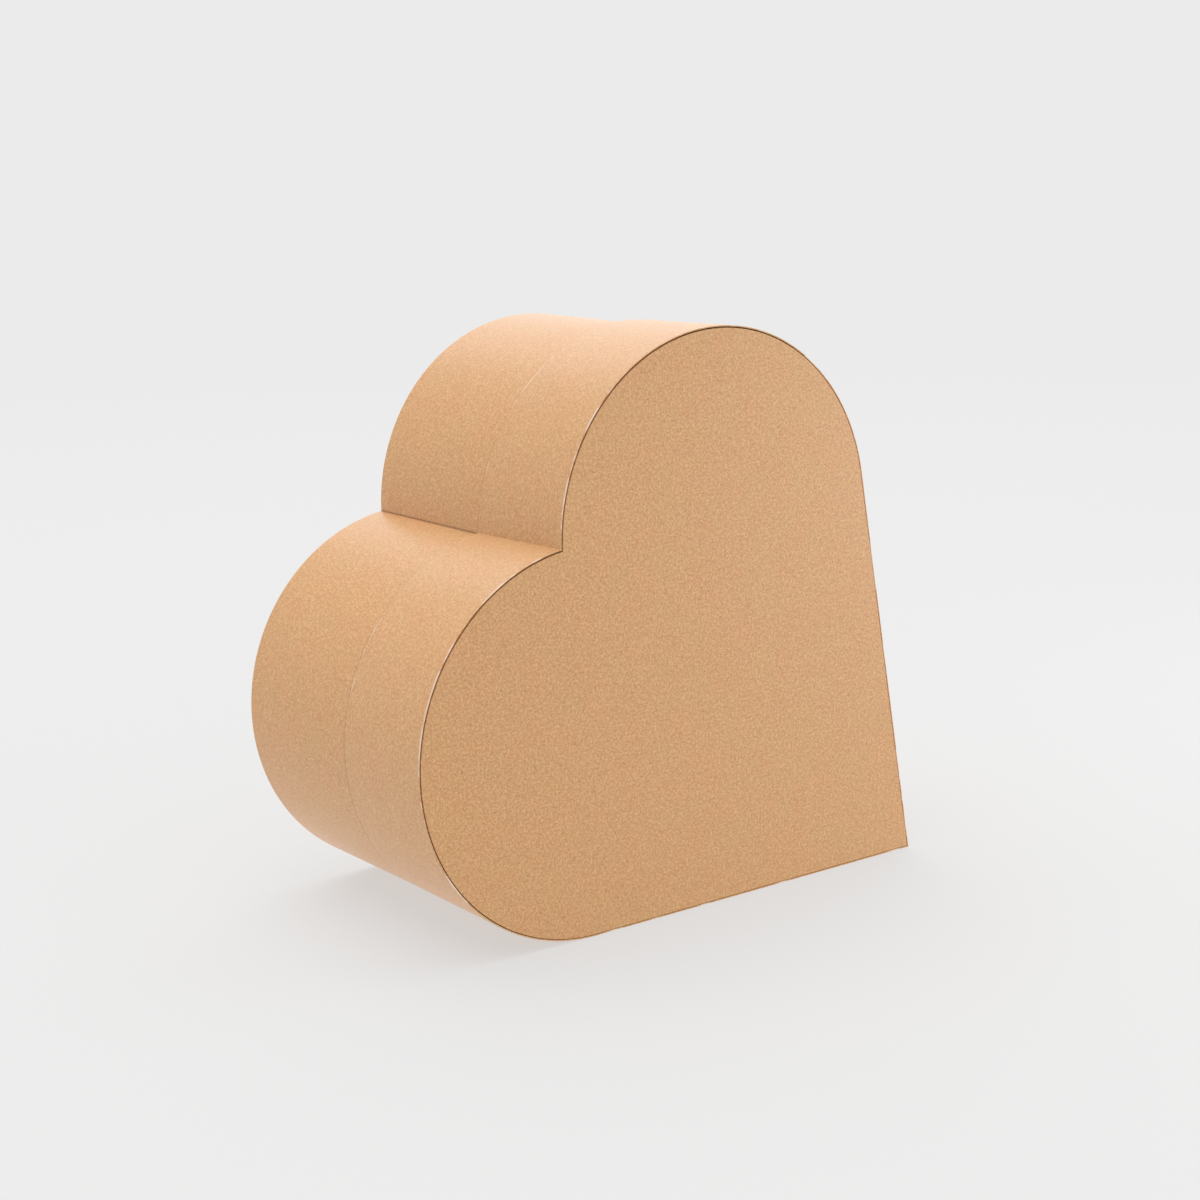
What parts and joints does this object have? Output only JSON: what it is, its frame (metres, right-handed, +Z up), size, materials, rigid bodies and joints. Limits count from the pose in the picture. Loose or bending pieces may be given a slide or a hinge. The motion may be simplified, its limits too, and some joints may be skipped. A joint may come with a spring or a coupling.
{
  "type": "wind-up music box",
  "caption": "Heart-shaped card box with a lift-off front lid and a key-wound pinned-cylinder musical movement on its back panel.",
  "frame": {"origin": "middle of the straight side that the box stands on, halfway between its front and back faces", "axes": "+Z up, +X along the standing side towards the heart's point, +Y from the lid's front face to the back panel"},
  "size_m": [0.1453, 0.0974, 0.1359],
  "materials": {
    "kraft_card": "matt brown kraft card with fine flecks",
    "grey_card": "matt grey-brown board",
    "fibreboard": "raw fibreboard",
    "brass": "turned and lightly polished",
    "plated_steel": "bright zinc plating",
    "spring_steel": "hardened and ground",
    "die_casting": "as cast, satin",
    "white_plastic": "moulded acetal",
    "tuning_lead": "dull grey metal",
    "key_plating": "brass plated"
  },
  "bodies": {
    "case": {"base_wall": "kraft_card", "base_panel": "kraft_card", "base_neck": "grey_card", "mounting_board": "fibreboard", "key_eyelet": "brass", "fixing_screws": "plated_steel", "fixing_washers": "plated_steel", "bedplate": "die_casting", "clutch_spring": "spring_steel", "barrel_bridge": "plated_steel", "bridge_screws": "plated_steel", "end_bracket": "plated_steel", "comb": "spring_steel", "comb_weights": "tuning_lead", "comb_base": "die_casting", "comb_screws": "plated_steel", "governor_frame": "brass", "frame_screws": "plated_steel"},
    "lid": {"lid_wall": "kraft_card", "lid_panel": "kraft_card"},
    "winding": {"winding_arbor": "plated_steel", "key_shank": "key_plating", "key_wings": "key_plating"},
    "barrel": {"spring_barrel": "brass", "barrel_cover": "brass", "mainspring": "spring_steel"},
    "cylinder": {"cylinder_drum": "brass", "cylinder_caps": "white_plastic", "cylinder_pins": "spring_steel", "cylinder_axle": "plated_steel", "drive_pinion": "brass", "cylinder_gear": "white_plastic"},
    "governor_wheel": {"governor_axle": "plated_steel", "governor_pinion": "white_plastic", "worm_wheel": "white_plastic"},
    "governor_fly": {"governor_worm": "spring_steel", "governor_fan": "white_plastic"}
  },
  "joints": [
    {"name": "lid_slide", "type": "slide", "parent": "case", "child": "lid", "axis": [0, -1, 0], "range_m": [0, 0.08]},
    {"name": "key_wind", "type": "hinge", "parent": "case", "child": "winding", "pos_m": [-0.032, 0.0385, 0.062], "axis": [0, -1, 0], "range_deg": [0, 1800]},
    {"name": "cylinder_spin", "type": "hinge", "parent": "case", "child": "cylinder", "pos_m": [-0.0085, 0.01735, 0.062], "axis": [1, 0, 0], "continuous": true},
    {"name": "barrel_spin", "type": "hinge", "parent": "case", "child": "barrel", "pos_m": [-0.032, 0.025, 0.062], "axis": [0, -1, 0], "continuous": true},
    {"name": "governor_spin", "type": "hinge", "parent": "case", "child": "governor_wheel", "pos_m": [0, 0.02143, 0.072], "axis": [1, 0, 0], "continuous": true},
    {"name": "fly_spin", "type": "hinge", "parent": "case", "child": "governor_fly", "pos_m": [-0.0015, 0.02, 0.0764], "axis": [0, -1, 0], "continuous": true}
  ],
  "couplings": [
    {"joint": "barrel_spin", "follows": "cylinder_spin", "ratio": 0.33333},
    {"joint": "governor_spin", "follows": "cylinder_spin", "ratio": -3.5},
    {"joint": "fly_spin", "follows": "cylinder_spin", "ratio": 56}
  ]
}
